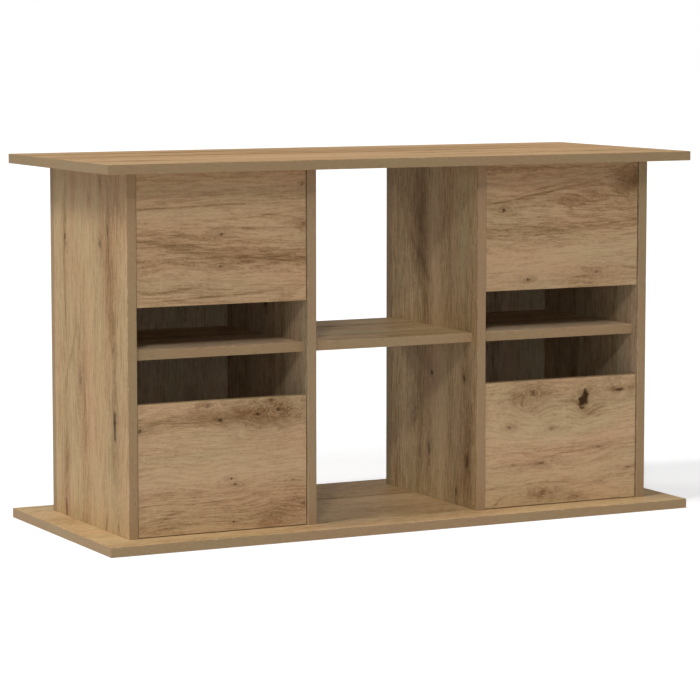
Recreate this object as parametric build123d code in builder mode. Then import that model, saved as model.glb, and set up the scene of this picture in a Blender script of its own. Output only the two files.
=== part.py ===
from build123d import *
import os

# Aquarium stand cabinet in laminated board: two overhanging plates with four uprights
# between them, an open middle bay, and a bay with a back panel and two doors on each side.
# Millimetres, +Z up, front towards -Y, origin in the middle of the base's underside.
# The cabinet is symmetric left to right, so each right-hand piece mirrors the left one.

# Plates and carcass
WIDTH = 1010.0              # top and base plates, left to right
DEPTH = 410.0               # top and base plates, front to back
HEIGHT = 580.0              # floor to the surface that the tank stands on
BOARD = 15.0                # thickness of every board
OVERHANG = 50.0             # plates stand this far proud of the carcass, all round
EDGE_ROUND = 0.8            # softened edges of the edge banding

# Doors, inset between the uprights
DOOR_RECESS = 2.5           # door faces behind the uprights' front edges
DOOR_SIDE_GAP = 1.25
DOOR_END_GAP = 1.0          # to the plate above or below
HAND_SLOT = 65.5            # open height between a door and the shelf

# Concealed hinges, each turning on one pin inside its cup
HINGE_INSET = 55.0          # hinge centre from each end of its door
PIN_FROM_EDGE = 20.0        # pin axis from the door's hinge edge
PIN_FROM_FACE = 6.0         # pin axis behind the door's front face
PIN_RADIUS = 1.2
PIN_LENGTH = 24.0
RUNNING_CLEARANCE = 0.05    # radial, between the pin and the arm's eye
CUP_FROM_EDGE = 21.5        # cup centre from the door's hinge edge
CUP_RADIUS = 17.45
CUP_DEPTH = 12.3
CUP_WALL = 0.8
CUP_LIP = 1.2               # rim beyond the bore
CUP_SLOT = 15.0             # height of the space that the arm swings in
FLANGE = 1.1                # thickness of the cup's flange, on the door's back face
FLANGE_LENGTH = 62.0
FLANGE_WIDTH = 13.0
CUP_SCREW_SPACING = 48.0
CUP_SCREW_OFFSET = 6.0      # screw row from the cup's centre, away from the hinge edge
ARM_THICKNESS = 3.0
ARM_WIDTH = 12.0
EYE_RADIUS = 2.4
ARM_LEAVES = (21.0, 16.4)   # crank corners from the pin: into the bay, and rearwards
ARM_TURNS = (21.0, 28.0)
ARM_MEETS = (-9.0, 28.0)
CRANK_ROUND = 5.0
CHANNEL_HEIGHT = 8.0        # arm's channel, over the mounting plate
CHANNEL_LENGTH = 56.0
CHANNEL_START = 24.5        # front end of the channel, behind the pin
RISER_HEIGHT = 8.0          # mounting plate's raised middle
RISER_LENGTH = 46.0
RISER_WIDTH = 14.0
PLATE_WING = 2.5
PLATE_WING_WIDTH = 15.0
PLATE_WING_LENGTH = 50.0
PLATE_SCREW_SPACING = 32.0
PLATE_SETBACK = 37.0        # screw row behind the back of the closed door
ARM_SCREW_OFFSET = 10.0     # arm screws in front of and behind the plate's screw row
ARM_SCREW_RADIUS = 2.0
ARM_SCREW_HEAD = 3.5
DRIVE_WIDTH = 1.0           # cross recess for a screwdriver
DRIVE_DEPTH = 1.5

# Knock-down fittings
BORE_CLEARANCE = 0.05       # radial, round every fitting
BORE_END = 0.5              # bores run this much deeper than what they hold
CAM_RADIUS = 7.4
CAM_DEPTH = 12.5
CAM_SETBACK = 34.0          # cam centre from the end of its board
CAM_BOLT_GRIP = 11.0        # threaded end of a cam bolt
CAM_NECK_BORE = 4.0
BOLT_RADIUS = 2.5
BOLT_COLLAR = 3.5
BOLT_GROOVE = 1.7
BOLT_HEAD = 2.9
BOLT_HEAD_LENGTH = 2.0
BOLT_SHOULDER = 2.0
BOLT_GROOVE_LENGTH = 5.0
CAM_WELL = 2.6              # how far a cam's mouth runs past its centre
DOWEL_CHAMFER = 1.0
DOWEL_RADIUS = 4.0
DOWEL_LENGTH = 30.0
DOWEL_SHORT_SIDE = 10.0     # how deep a dowel goes into the face of a board
DIVIDER_DOWEL_LENGTH = 50.0
BASE_SCREW_RADIUS = 3.0
BASE_SCREW_SHANK = 3.5
BASE_SCREW_HEAD = 5.0
BASE_SCREW_LENGTH = 50.0
BACK_SCREW_RADIUS = 1.9
BACK_SCREW_HEAD = 3.8
BACK_SCREW_LENGTH = 30.0
SMALL_SCREW_RADIUS = 1.6
SMALL_SCREW_HEAD = 3.2
SMALL_SCREW_HEAD_HEIGHT = 1.6
SMALL_SCREW_LENGTH = 10.0
STOP_STEM_RADIUS = 2.5
STOP_STEM_LENGTH = 8.0
STOP_PAD_RADIUS = 4.0
STOP_PAD_LENGTH = 7.0
STOP_CLEARANCE = 0.3        # between a stop's pad and the closed door

FRONT_DOWEL_Y = -125.0      # rows of fittings along the depth of the uprights
FRONT_FITTING_Y = -60.0
REAR_DOWEL_Y = 60.0
REAR_FITTING_Y = 95.0
SHELF_DOWEL_Y = (-20.0, 50.0)
BACK_SCREW_Z = (60.0, 180.0, 400.0, 520.0)

# Positions that follow
outer_x = WIDTH / 2 - OVERHANG
front_y = OVERHANG - DEPTH / 2
rear_y = -front_y
upright_rear_y = rear_y - BOARD
upright_depth = upright_rear_y - front_y
upright_y = (front_y + upright_rear_y) / 2
upright_top = HEIGHT - BOARD
upright_height = upright_top - BOARD
bay = (2 * outer_x - 4 * BOARD) / 3
side_x = outer_x - BOARD / 2
side_inner_x = outer_x - BOARD
divider_x = (bay + BOARD) / 2
divider_outer_x = divider_x + BOARD / 2
side_bay_x = bay + BOARD
shelf_bottom = (HEIGHT - BOARD) / 2
shelf_middle = HEIGHT / 2
shelf_front_y = front_y + DOOR_RECESS + BOARD
shelf_depth = upright_rear_y - shelf_front_y
shelf_y = (shelf_front_y + upright_rear_y) / 2
door_front_y = front_y + DOOR_RECESS
door_back_y = door_front_y + BOARD
door_width = bay - 2 * DOOR_SIDE_GAP
door_height = shelf_bottom - HAND_SLOT - BOARD - DOOR_END_GAP
lower_door_z = BOARD + DOOR_END_GAP + door_height / 2
upper_door_z = HEIGHT - lower_door_z
hinge_edge_x = side_inner_x - DOOR_SIDE_GAP
pin_x = hinge_edge_x - PIN_FROM_EDGE
pin_y = door_front_y + PIN_FROM_FACE
cup_x = hinge_edge_x - CUP_FROM_EDGE
plate_screw_y = door_back_y + PLATE_SETBACK
fitting_rows = (FRONT_FITTING_Y, REAR_FITTING_Y)
dowel_rows = (FRONT_DOWEL_Y, REAR_DOWEL_Y)
upright_xs = (-side_x, -divider_x, divider_x, side_x)

LEFT, RIGHT, UP, DOWN, FRONT, BACK = (
    (-1, 0, 0), (1, 0, 0), (0, 0, 1), (0, 0, -1), (0, -1, 0), (0, 1, 0))
FROM_FACE = (Align.CENTER, Align.CENTER, Align.MAX)


def hinge_heights(door_z):
    """Heights of the two hinges of a door centred at door_z."""
    offset = door_height / 2 - HINGE_INSET
    return (door_z - offset, door_z + offset)


def planes(xs, ys, zs, out, across=None):
    """A plane at every combination of xs, ys and zs, facing out."""
    return [Plane((x, y, z), x_dir=across, z_dir=out) for x in xs for y in ys for z in zs]


def drill(mouths, radius, depth):
    """Bores into the current part, from planes that face out of their mouths."""
    with Locations(*mouths):
        Cylinder(radius + BORE_CLEARANCE, depth, align=FROM_FACE, mode=Mode.SUBTRACT)


def countersink(mouths, head_radius, shank_radius):
    """Conical seats for screw heads, from planes that face out of their mouths."""
    depth = head_radius - shank_radius
    with Locations(*mouths):
        Cone(shank_radius + BORE_CLEARANCE, head_radius + BORE_CLEARANCE, depth,
             align=FROM_FACE, mode=Mode.SUBTRACT)


def turned(*outline):
    """A turned piece: the half outline as (radius, height) points, spun about Z."""
    with BuildPart() as piece:
        with BuildSketch(Plane.XZ) as half:
            with BuildLine():
                Polyline((0, outline[0][1]), *outline, (0, outline[-1][1]), close=True)
            make_face()
        revolve(half.sketch, axis=Axis.Z)
    return piece.part


def save(piece, name):
    """Label a finished piece and write it."""
    piece.part.label = name
    export_step(piece.part, f"parts/{name}.step")


def save_pair(left_piece, name):
    """Save a left-hand piece and its mirror image on the right."""
    save(left_piece, f"left_{name}")
    with BuildPart() as right_piece:
        mirror(left_piece.part, about=Plane.YZ)
    save(right_piece, f"right_{name}")


def save_group(prototype, places, name):
    """Save identical fittings, one at each place, as one group."""
    with BuildPart() as group:
        with Locations(*places):
            add(prototype)
    save(group, name)


os.makedirs("parts", exist_ok=True)

# ---------------------------------------------------------------- where fittings go
top_bolt_places = planes(upright_xs, fitting_rows, (upright_top,), DOWN)
top_dowel_places = planes(upright_xs, dowel_rows, (upright_top,), UP)
base_screw_places = planes(upright_xs, fitting_rows, (0,), DOWN)
base_dowel_places = planes(upright_xs, dowel_rows, (BOARD,), DOWN)
cam_height = upright_top - CAM_SETBACK
top_cam_places = (
    planes((-side_inner_x, divider_outer_x), fitting_rows, (cam_height,), RIGHT, BACK)
    + planes((-divider_outer_x, side_inner_x), fitting_rows, (cam_height,), LEFT, FRONT))
shelf_bolt_places = (
    planes((-side_inner_x,), fitting_rows, (shelf_middle,), RIGHT)
    + planes((side_inner_x,), fitting_rows, (shelf_middle,), LEFT))
through_bolt_places = planes((-divider_x, divider_x), fitting_rows, (shelf_middle,), RIGHT)
shelf_dowel_places = (
    planes((-side_inner_x,), SHELF_DOWEL_Y, (shelf_middle,), LEFT)
    + planes((side_inner_x,), SHELF_DOWEL_Y, (shelf_middle,), RIGHT))
divider_dowel_places = planes((-divider_x, divider_x), SHELF_DOWEL_Y, (shelf_middle,), RIGHT)
shelf_cam_places = [
    Plane((centre + end * (bay / 2 - CAM_SETBACK), y, shelf_bottom), x_dir=(0, end, 0), z_dir=DOWN)
    for centre in (-side_bay_x, 0, side_bay_x) for end in (-1, 1) for y in fitting_rows]
back_screw_places = planes(upright_xs, (rear_y,), BACK_SCREW_Z, BACK) + planes(
    (-side_bay_x, side_bay_x), (rear_y,), (shelf_middle,), BACK)
stop_y = door_back_y + STOP_PAD_RADIUS + STOP_CLEARANCE
door_heights = (lower_door_z, upper_door_z)

# ---------------------------------------------------------------- plates
with BuildPart() as base_panel:
    with BuildSketch(Plane.XY):
        Rectangle(WIDTH, DEPTH)
    extrude(amount=BOARD)
    fillet(base_panel.edges(), EDGE_ROUND)
    drill(base_screw_places, BASE_SCREW_SHANK, BOARD)
    countersink(base_screw_places, BASE_SCREW_HEAD, BASE_SCREW_SHANK)
    drill(planes(upright_xs, dowel_rows, (BOARD,), UP), DOWEL_RADIUS,
          DOWEL_SHORT_SIDE + BORE_END)
save(base_panel, "base_panel")

with BuildPart() as top_panel:
    with BuildSketch(Plane.XY.offset(upright_top)):
        Rectangle(WIDTH, DEPTH)
    extrude(amount=BOARD)
    fillet(top_panel.edges(), EDGE_ROUND)
    drill(top_bolt_places, BOLT_RADIUS, CAM_BOLT_GRIP + BORE_END)
    drill(planes(upright_xs, dowel_rows, (upright_top,), DOWN), DOWEL_RADIUS,
          DOWEL_SHORT_SIDE + BORE_END)
save(top_panel, "top_panel")

# ---------------------------------------------------------------- uprights
dowel_long_side = DOWEL_LENGTH - DOWEL_SHORT_SIDE


def bore_upright(x, cam_face_x, cam_out):
    """Bores that every upright has: top cams and dowels, base screws, back screws."""
    drill(planes((x,), fitting_rows, (upright_top,), UP), CAM_NECK_BORE, CAM_SETBACK)
    drill(planes((cam_face_x,), fitting_rows, (cam_height,), cam_out), CAM_RADIUS,
          CAM_DEPTH + BORE_END)
    drill(planes((x,), dowel_rows, (upright_top,), UP), DOWEL_RADIUS,
          dowel_long_side + BORE_END)
    drill(planes((x,), fitting_rows, (BOARD,), DOWN), BASE_SCREW_RADIUS,
          BASE_SCREW_LENGTH - BOARD + BORE_END)
    drill(planes((x,), dowel_rows, (BOARD,), DOWN), DOWEL_RADIUS,
          dowel_long_side + BORE_END)
    drill(planes((x,), (upright_rear_y,), BACK_SCREW_Z, BACK), BACK_SCREW_RADIUS,
          BACK_SCREW_LENGTH - BOARD + BORE_END)


with BuildPart() as left_side_panel:
    with BuildSketch(Plane.XY.offset(BOARD)):
        with Locations((-side_x, upright_y)):
            Rectangle(BOARD, upright_depth)
    extrude(amount=upright_height)
    fillet(left_side_panel.edges().filter_by(Axis.Z), EDGE_ROUND)
    bore_upright(-side_x, -side_inner_x, RIGHT)
    drill(planes((-side_inner_x,), fitting_rows, (shelf_middle,), RIGHT), BOLT_RADIUS,
          CAM_BOLT_GRIP + BORE_END)
    drill(planes((-side_inner_x,), SHELF_DOWEL_Y, (shelf_middle,), RIGHT), DOWEL_RADIUS,
          DOWEL_SHORT_SIDE + BORE_END)
    for door_z in door_heights:
        for hinge_z in hinge_heights(door_z):
            screw_zs = (hinge_z - PLATE_SCREW_SPACING / 2, hinge_z + PLATE_SCREW_SPACING / 2)
            drill(planes((-side_inner_x,), (plate_screw_y,), screw_zs, RIGHT),
                  SMALL_SCREW_RADIUS, SMALL_SCREW_LENGTH)
save_pair(left_side_panel, "side_panel")

with BuildPart() as left_divider:
    with BuildSketch(Plane.XY.offset(BOARD)):
        with Locations((-divider_x, upright_y)):
            Rectangle(BOARD, upright_depth)
    extrude(amount=upright_height)
    fillet(left_divider.edges().filter_by(Axis.Z), EDGE_ROUND)
    bore_upright(-divider_x, -divider_outer_x, LEFT)
    through_mouths = (-divider_outer_x,)
    drill(planes(through_mouths, fitting_rows, (shelf_middle,), LEFT), BOLT_COLLAR, BOARD)
    drill(planes(through_mouths, SHELF_DOWEL_Y, (shelf_middle,), LEFT), DOWEL_RADIUS, BOARD)
    drill(planes(through_mouths, (stop_y,), door_heights, LEFT), STOP_STEM_RADIUS,
          STOP_STEM_LENGTH + BORE_END)
save_pair(left_divider, "divider")


# ---------------------------------------------------------------- shelves
def bore_shelf(centre_x, dowel_depths):
    """Cam, bolt and dowel bores at both ends of a shelf; dowel depths are left, right."""
    for end, out, dowel_depth in ((-1, LEFT, dowel_depths[0]), (1, RIGHT, dowel_depths[1])):
        end_x = centre_x + end * bay / 2
        drill(planes((end_x,), fitting_rows, (shelf_middle,), out), CAM_NECK_BORE,
              CAM_SETBACK)
        drill(planes((end_x - end * CAM_SETBACK,), fitting_rows, (shelf_bottom,), DOWN),
              CAM_RADIUS, CAM_DEPTH + BORE_END)
        drill(planes((end_x,), SHELF_DOWEL_Y, (shelf_middle,), out), DOWEL_RADIUS,
              dowel_depth + BORE_END)


divider_dowel_side = (DIVIDER_DOWEL_LENGTH - BOARD) / 2

with BuildPart() as left_shelf:
    with BuildSketch(Plane.XY.offset(shelf_bottom)):
        with Locations((-side_bay_x, shelf_y)):
            Rectangle(bay, shelf_depth)
    extrude(amount=BOARD)
    fillet(left_shelf.faces().sort_by(Axis.Y)[0].edges().filter_by(Axis.X), EDGE_ROUND)
    bore_shelf(-side_bay_x, (dowel_long_side, divider_dowel_side))
    drill(planes((-side_bay_x,), (upright_rear_y,), (shelf_middle,), BACK),
          BACK_SCREW_RADIUS, BACK_SCREW_LENGTH - BOARD + BORE_END)
save_pair(left_shelf, "shelf")

with BuildPart() as centre_shelf:
    with BuildSketch(Plane.XY.offset(shelf_bottom)):
        with Locations((0, shelf_y)):
            Rectangle(bay, shelf_depth)
    extrude(amount=BOARD)
    fillet(centre_shelf.edges().filter_by(Axis.X), EDGE_ROUND)
    bore_shelf(0, (divider_dowel_side, divider_dowel_side))
save(centre_shelf, "centre_shelf")

# ---------------------------------------------------------------- back panels
back_width = outer_x - bay / 2
back_x = -(outer_x + bay / 2) / 2
with BuildPart() as left_back_panel:
    with BuildSketch(Plane.XY.offset(BOARD)):
        with Locations((back_x, upright_rear_y + BOARD / 2)):
            Rectangle(back_width, BOARD)
    extrude(amount=upright_height)
    fillet(left_back_panel.edges().filter_by(Axis.Z), EDGE_ROUND)
    left_screws = planes((-side_x, -divider_x), (rear_y,), BACK_SCREW_Z, BACK) + planes(
        (-side_bay_x,), (rear_y,), (shelf_middle,), BACK)
    drill(left_screws, BACK_SCREW_RADIUS, BOARD)
    countersink(left_screws, BACK_SCREW_HEAD, BACK_SCREW_RADIUS)
save_pair(left_back_panel, "back_panel")

# ---------------------------------------------------------------- doors and hinges
hinge_zs = [z for door_z in door_heights for z in hinge_heights(door_z)]
cup_screw_x = -(cup_x - CUP_SCREW_OFFSET)


def cup_screw_heights(heights):
    """Heights of the two screws above and below each hinge centre."""
    return [z + step * CUP_SCREW_SPACING / 2 for z in heights for step in (-1, 1)]


def pin_outline(z, length, radius):
    """A round of the pin's size, centred on the left pin axis at height z."""
    with BuildPart() as rod:
        with BuildSketch(Plane((-pin_x, pin_y, z - length / 2))):
            Circle(radius)
        extrude(amount=length)
    return rod.part


with BuildPart() as panhead_screw:
    with BuildSketch(Plane.XY):
        Circle(SMALL_SCREW_HEAD)
    extrude(amount=SMALL_SCREW_HEAD_HEIGHT)
    fillet(panhead_screw.edges().sort_by(Axis.Z)[-1], SMALL_SCREW_HEAD_HEIGHT / 2)
    with BuildSketch(Plane.XY):
        Circle(SMALL_SCREW_RADIUS)
    extrude(amount=-SMALL_SCREW_LENGTH)
    with BuildSketch(Plane.XY.offset(SMALL_SCREW_HEAD_HEIGHT)):
        Rectangle(SMALL_SCREW_HEAD, DRIVE_WIDTH)
        Rectangle(DRIVE_WIDTH, SMALL_SCREW_HEAD)
    extrude(amount=-SMALL_SCREW_HEAD_HEIGHT / 2, mode=Mode.SUBTRACT)

for level, door_z in (("lower", lower_door_z), ("upper", upper_door_z)):
    own_hinge_zs = hinge_heights(door_z)
    own_screw_zs = cup_screw_heights(own_hinge_zs)

    with BuildPart() as door:
        with BuildSketch(Plane.XY.offset(door_z - door_height / 2)):
            with Locations((-side_bay_x, door_front_y + BOARD / 2)):
                Rectangle(door_width, BOARD)
        extrude(amount=door_height)
        fillet(door.edges(), EDGE_ROUND)
        drill(planes((-cup_x,), (door_back_y,), own_hinge_zs, BACK), CUP_RADIUS,
              CUP_DEPTH + BORE_CLEARANCE)
        drill(planes((cup_screw_x,), (door_back_y,), own_screw_zs, BACK),
              SMALL_SCREW_RADIUS, SMALL_SCREW_LENGTH)
    save_pair(door, f"{level}_door")

    with BuildPart() as cups:
        for z in own_hinge_zs:
            mouth = Plane((-cup_x, door_back_y, z), x_dir=LEFT, z_dir=BACK)
            with BuildSketch(mouth):
                Circle(CUP_RADIUS)
            extrude(amount=-CUP_DEPTH)
            with BuildSketch(mouth):
                Circle(CUP_RADIUS + CUP_LIP)
                with Locations((-CUP_SCREW_OFFSET, 0)):
                    SlotOverall(FLANGE_LENGTH, FLANGE_WIDTH, rotation=90)
            extrude(amount=FLANGE)
            with BuildSketch(mouth.offset(FLANGE)):
                Circle(CUP_RADIUS - CUP_WALL)
                Rectangle(2 * CUP_RADIUS, CUP_SLOT, mode=Mode.INTERSECT)
            extrude(amount=-(CUP_DEPTH + FLANGE - CUP_WALL), mode=Mode.SUBTRACT)
            add(pin_outline(z, PIN_LENGTH, PIN_RADIUS), mode=Mode.SUBTRACT)
        drill(planes((cup_screw_x,), (door_back_y + FLANGE,), own_screw_zs, BACK),
              SMALL_SCREW_RADIUS, FLANGE)
    save_pair(cups, f"{level}_hinge_cups")

    with BuildPart() as pins:
        for z in own_hinge_zs:
            add(pin_outline(z, PIN_LENGTH, PIN_RADIUS))
    save_pair(pins, f"{level}_hinge_pins")

    with BuildPart() as cup_screws:
        with Locations(*planes((cup_screw_x,), (door_back_y + FLANGE,), own_screw_zs, BACK)):
            add(panhead_screw.part)
    save_pair(cup_screws, f"{level}_cup_screws")

channel_x = -side_inner_x + RISER_HEIGHT + CHANNEL_HEIGHT / 2
channel_y = pin_y + CHANNEL_START + CHANNEL_LENGTH / 2
arm_screw_places = planes((channel_x + CHANNEL_HEIGHT / 2,),
                          (plate_screw_y - ARM_SCREW_OFFSET, plate_screw_y + ARM_SCREW_OFFSET),
                          hinge_zs, RIGHT)

with BuildPart() as left_arms:
    for z in hinge_zs:
        with BuildSketch(Plane((-pin_x, pin_y, z - ARM_WIDTH / 2))) as crank:
            with BuildLine():
                FilletPolyline((0, 0), ARM_LEAVES, ARM_TURNS, ARM_MEETS, radius=CRANK_ROUND)
            trace(line_width=ARM_THICKNESS)
            Circle(EYE_RADIUS)
            with Locations((channel_x + pin_x, channel_y - pin_y)):
                Rectangle(CHANNEL_HEIGHT, CHANNEL_LENGTH)
        extrude(amount=ARM_WIDTH)
        add(pin_outline(z, ARM_WIDTH, PIN_RADIUS + RUNNING_CLEARANCE), mode=Mode.SUBTRACT)
    drill(arm_screw_places, ARM_SCREW_RADIUS, CHANNEL_HEIGHT)

with BuildPart() as hinge_arms:
    add(left_arms.part)
    mirror(left_arms.part, about=Plane.YZ)
save(hinge_arms, "hinge_arms")

plate_screw_zs = [z + step * PLATE_SCREW_SPACING / 2 for z in hinge_zs for step in (-1, 1)]
with BuildPart() as left_plates:
    for z in hinge_zs:
        seat = Plane((-side_inner_x, plate_screw_y, z), x_dir=BACK, z_dir=RIGHT)
        with BuildSketch(seat):
            SlotOverall(PLATE_WING_LENGTH, PLATE_WING_WIDTH, rotation=90)
        extrude(amount=PLATE_WING)
        with BuildSketch(seat):
            RectangleRounded(RISER_LENGTH, RISER_WIDTH, PLATE_WING)
        extrude(amount=RISER_HEIGHT)
    drill(planes((-side_inner_x + PLATE_WING,), (plate_screw_y,), plate_screw_zs, RIGHT),
          SMALL_SCREW_RADIUS, PLATE_WING)
    drill(planes((-side_inner_x + RISER_HEIGHT,),
                 (plate_screw_y - ARM_SCREW_OFFSET, plate_screw_y + ARM_SCREW_OFFSET),
                 hinge_zs, RIGHT), ARM_SCREW_RADIUS, RISER_HEIGHT - PLATE_WING)
with BuildPart() as hinge_mounting_plates:
    add(left_plates.part)
    mirror(left_plates.part, about=Plane.YZ)
save(hinge_mounting_plates, "hinge_mounting_plates")

plate_face_x = side_inner_x - PLATE_WING
save_group(panhead_screw.part,
           planes((-plate_face_x,), (plate_screw_y,), plate_screw_zs, RIGHT)
           + planes((plate_face_x,), (plate_screw_y,), plate_screw_zs, LEFT),
           "mounting_plate_screws")

arm_screw_length = CHANNEL_HEIGHT + RISER_HEIGHT - PLATE_WING
with BuildPart() as arm_screw:
    with BuildSketch(Plane.XY):
        Circle(ARM_SCREW_HEAD)
    extrude(amount=SMALL_SCREW_HEAD_HEIGHT)
    with BuildSketch(Plane.XY):
        Circle(ARM_SCREW_RADIUS)
    extrude(amount=-arm_screw_length)
    with BuildSketch(Plane.XY.offset(SMALL_SCREW_HEAD_HEIGHT)):
        Rectangle(ARM_SCREW_HEAD, DRIVE_WIDTH)
        Rectangle(DRIVE_WIDTH, ARM_SCREW_HEAD)
    extrude(amount=-SMALL_SCREW_HEAD_HEIGHT / 2, mode=Mode.SUBTRACT)
right_arm_screw_places = [Plane((-p.origin.X, p.origin.Y, p.origin.Z), z_dir=LEFT)
                          for p in arm_screw_places]
save_group(arm_screw.part, arm_screw_places + right_arm_screw_places, "hinge_arm_screws")

# ---------------------------------------------------------------- knock-down fittings
bolt_end = ((BOLT_COLLAR, BOLT_SHOULDER), (BOLT_RADIUS, BOLT_SHOULDER + 1),
            (BOLT_RADIUS, CAM_SETBACK - BOLT_GROOVE_LENGTH),
            (BOLT_GROOVE, CAM_SETBACK - BOLT_GROOVE_LENGTH + 1), (BOLT_GROOVE, CAM_SETBACK),
            (BOLT_HEAD, CAM_SETBACK), (BOLT_HEAD, CAM_SETBACK + BOLT_HEAD_LENGTH))
cam_bolt = turned((BOLT_RADIUS, -CAM_BOLT_GRIP), (BOLT_RADIUS, 0), (BOLT_COLLAR, 0), *bolt_end)
save_group(cam_bolt, top_bolt_places, "top_cam_bolts")
save_group(cam_bolt, shelf_bolt_places, "shelf_cam_bolts")

through_end = [(radius, z + BOARD / 2) for radius, z in bolt_end]
through_bolt = turned(*[(radius, -z) for radius, z in reversed(through_end)], *through_end)
save_group(through_bolt, through_bolt_places, "shelf_through_bolts")

with BuildPart() as cam_lock:
    with BuildSketch(Plane.XY):
        Circle(CAM_RADIUS)
    extrude(amount=-CAM_DEPTH)
    with BuildSketch(Plane.XZ.offset(CAM_WELL)):
        with Locations((0, -BOARD / 2)):
            Circle(CAM_NECK_BORE)
    extrude(amount=-(CAM_WELL + CAM_RADIUS), mode=Mode.SUBTRACT)
    with BuildSketch(Plane.XY):
        Rectangle(CAM_RADIUS, DRIVE_WIDTH)
        Rectangle(DRIVE_WIDTH, CAM_RADIUS)
    extrude(amount=-DRIVE_DEPTH, mode=Mode.SUBTRACT)
save_group(cam_lock.part, top_cam_places, "top_cam_locks")
save_group(cam_lock.part, shelf_cam_places, "shelf_cam_locks")


def dowel(length, below):
    """A chamfered dowel of a length, reaching below its plane by the amount below."""
    ends = (DOWEL_RADIUS - DOWEL_CHAMFER, DOWEL_RADIUS)
    return turned((ends[0], -below), (ends[1], DOWEL_CHAMFER - below),
                  (ends[1], length - below - DOWEL_CHAMFER), (ends[0], length - below))


board_dowel = dowel(DOWEL_LENGTH, dowel_long_side)
save_group(board_dowel, top_dowel_places, "top_dowels")
save_group(board_dowel, base_dowel_places, "base_dowels")
save_group(board_dowel, shelf_dowel_places, "shelf_dowels")
save_group(dowel(DIVIDER_DOWEL_LENGTH, DIVIDER_DOWEL_LENGTH / 2), divider_dowel_places,
           "divider_dowels")


def countersunk(head, radius, length):
    """A countersunk screw with a hexagon socket, its head flush with its plane."""
    with BuildPart() as screw:
        add(turned((radius, -length), (radius, radius - head), (head, 0)))
        with BuildSketch(Plane.XY):
            RegularPolygon(head / 2, 6)
        extrude(amount=-head / 2, mode=Mode.SUBTRACT)
    return screw.part


base_screw = countersunk(BASE_SCREW_HEAD, BASE_SCREW_RADIUS, BASE_SCREW_LENGTH)
save_group(base_screw, base_screw_places, "base_screws")
save_group(countersunk(BACK_SCREW_HEAD, BACK_SCREW_RADIUS, BACK_SCREW_LENGTH),
           back_screw_places, "back_panel_screws")

door_stop = turned((STOP_STEM_RADIUS, -STOP_STEM_LENGTH), (STOP_STEM_RADIUS, 0),
                   (STOP_PAD_RADIUS, 0), (STOP_PAD_RADIUS, STOP_PAD_LENGTH - 1),
                   (STOP_PAD_RADIUS - 1, STOP_PAD_LENGTH))
save_group(door_stop,
           planes((-divider_outer_x,), (stop_y,), door_heights, LEFT)
           + planes((divider_outer_x,), (stop_y,), door_heights, RIGHT), "door_stops")
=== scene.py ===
"""Looks for the aquarium stand cabinet: knotty oak laminate boards, plated fittings, studio."""
import math
import random

import bpy
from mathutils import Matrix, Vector


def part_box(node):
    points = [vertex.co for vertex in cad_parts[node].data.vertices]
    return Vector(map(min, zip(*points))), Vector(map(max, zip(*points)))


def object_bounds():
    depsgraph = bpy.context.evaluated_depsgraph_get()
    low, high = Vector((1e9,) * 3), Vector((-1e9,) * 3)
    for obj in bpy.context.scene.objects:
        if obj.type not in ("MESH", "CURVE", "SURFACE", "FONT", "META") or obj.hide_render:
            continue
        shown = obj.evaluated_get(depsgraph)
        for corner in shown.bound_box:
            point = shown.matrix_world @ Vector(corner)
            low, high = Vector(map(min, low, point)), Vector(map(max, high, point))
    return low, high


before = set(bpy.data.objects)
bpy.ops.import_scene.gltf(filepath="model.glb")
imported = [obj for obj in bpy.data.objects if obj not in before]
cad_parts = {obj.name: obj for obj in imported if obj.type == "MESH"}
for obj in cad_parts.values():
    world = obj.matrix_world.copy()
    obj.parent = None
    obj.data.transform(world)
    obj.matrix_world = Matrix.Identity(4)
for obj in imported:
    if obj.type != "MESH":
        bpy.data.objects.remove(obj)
cad_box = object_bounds()

MM = 0.001
X, Y, Z = range(3)

# Display colours of the oak decor
PALE_TO_DARK = ((0.0, (0.83, 0.69, 0.53)), (0.35, (0.76, 0.618, 0.46)),
                (0.62, (0.66, 0.516, 0.358)), (1.0, (0.445, 0.325, 0.20)))
COOL_TO_WARM = ((0.28, (0.95, 1.0, 0.945)), (0.72, (1.0, 0.955, 0.925)))
PORE_BROWN = (0.42, 0.32, 0.21)
HALO_BROWN = (0.49, 0.345, 0.20)
CORE_BROWN = (0.23, 0.13, 0.01)
SEAM_BROWN = (0.40, 0.30, 0.21)
WORN_EDGE = (0.86, 0.76, 0.62)

# Factors on the oak colours, scene-linear
PLAIN = (1.0, 1.0, 1.0)
BALANCE = (0.92, 0.942, 1.04)  # the whole decor
# the next three lighten faces inside the closed compartments: painted light where the lamps leave
# shade
BANDING = (0.84, 0.89, 0.92)  # the edges beside the faces
PAINTED_LIGHT_BACKS = (1.16, 1.38, 1.72)  # painted light on the back panels' faces inside the closed compartments
PAINTED_LIGHT_UPRIGHTS = (1.13, 1.31, 1.56)  # painted light on the uprights' faces inside the closed compartments
PAINTED_LIGHT_SHELVES = (1.42, 1.56, 1.88)  # painted light on the shelves inside the closed compartments

# Features of the oak figure per metre: along the grain, across it and into the board
BROAD = (1.6, 13, 5)
DRIFT = (1.6, 17, 5)
BANDS = (2.2, 48, 12)
LINES = (4.5, 120, 40)
THREADS = (30, 300, 90)
FIBRES = (170, 520, 300)
PORES = (70, 1100, 700)
HUES = (3.6, 20, 9)
WANDER = (3.2, 9.0, 1.0)
RAGGED = (95, 150, 1)
PATCHES = (40, 70, 1)
NICKS = (70, 70, 70)

RING_PACE = 900.0  # growth rings across the grain, radians per metre
WANDER_REACH = 0.045  # how far the grain wanders across a board, in metres
DECOR_SHIFT = 40.0  # each board's cut of the decor lies up to this many metres away
SEAM_WIDTH = 0.0015  # the glue line beside a board's edges, in metres
WORN_WIDTH = 0.003  # the worn border of a board, in metres
WORN_RADIUS = 0.0004  # the worn border of a fitting, in metres


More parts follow.
